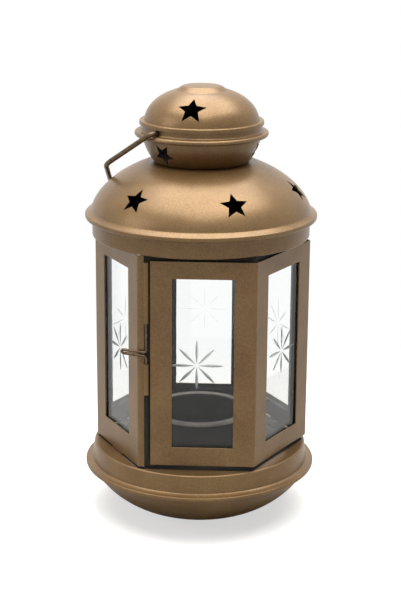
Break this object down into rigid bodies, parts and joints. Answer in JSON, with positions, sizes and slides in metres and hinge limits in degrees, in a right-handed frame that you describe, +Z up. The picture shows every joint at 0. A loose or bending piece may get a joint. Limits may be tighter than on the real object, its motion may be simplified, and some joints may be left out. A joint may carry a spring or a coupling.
{
  "type": "tealight lantern",
  "caption": "Hexagonal sheet-metal lantern with glass sides, star-pierced domed roof, small top chamber, swinging wire bail, hinged two-leaf door, wire latch and candle cup",
  "frame": {"origin": "centre of the flat foot's underside, which the lantern stands on", "axes": "+Z up along the lantern's axis; -Y out of the door's front leaf; +X to the right seen from the front"},
  "size_m": [0.1134, 0.1134, 0.2106],
  "materials": {
    "lacquered_steel": "satin bronze-gold metallic lacquer",
    "bronzed_wire": "satin dark bronze",
    "dark_cup": "satin dark",
    "rivet_steel": "dull",
    "pane_glass": "clear, with a wheel-cut star"
  },
  "bodies": {
    "lantern": {"base_bowl": "lacquered_steel", "base_cover": "lacquered_steel", "candle_cup": "dark_cup", "body_frame": "lacquered_steel", "base_rivet_1": "rivet_steel", "base_rivet_2": "rivet_steel", "base_rivet_3": "rivet_steel", "base_rivet_4": "rivet_steel", "roof_rivet_1": "rivet_steel", "roof_rivet_2": "rivet_steel", "roof_rivet_3": "rivet_steel", "roof_rivet_4": "rivet_steel", "cap_rivet_1": "rivet_steel", "cap_rivet_2": "rivet_steel", "cap_rivet_3": "rivet_steel", "cup_rivet": "rivet_steel", "glass_back_right": "pane_glass", "glass_back": "pane_glass", "glass_back_left": "pane_glass", "glass_left": "pane_glass", "channel_back_right_1": "lacquered_steel", "channel_back_right_2": "lacquered_steel", "channel_back_1": "lacquered_steel", "channel_back_2": "lacquered_steel", "channel_back_left_1": "lacquered_steel", "channel_back_left_2": "lacquered_steel", "channel_left_1": "lacquered_steel", "channel_left_2": "lacquered_steel", "hinge_pin": "bronzed_wire", "roof_ring": "lacquered_steel", "roof_dome": "lacquered_steel", "cap_bowl": "lacquered_steel", "cap_band": "lacquered_steel", "cap_dome": "lacquered_steel"},
    "door": {"door_frame": "lacquered_steel", "door_glass_front": "pane_glass", "door_glass_right": "pane_glass", "door_channel_front_1": "lacquered_steel", "door_channel_front_2": "lacquered_steel", "door_channel_right_1": "lacquered_steel", "door_channel_right_2": "lacquered_steel"},
    "latch": {"latch_wire": "bronzed_wire"},
    "handle": {"handle_bail": "bronzed_wire"}
  },
  "joints": [
    {"name": "door_hinge", "type": "hinge", "parent": "lantern", "child": "door", "pos_m": [0.0504, 0.0039, 0.08655], "axis": [0, 0, 1], "range_deg": [0, 160]},
    {"name": "latch_turn", "type": "hinge", "parent": "lantern", "child": "latch", "pos_m": [-0.0231, -0.0454, 0.0919], "axis": [0, 0, 1], "range_deg": [0, 137]},
    {"name": "handle_swing", "type": "hinge", "parent": "lantern", "child": "handle", "pos_m": [0, 0, 0.19076], "axis": [0.682, 0.7314, 0], "range_deg": [0, 245.7]}
  ]
}
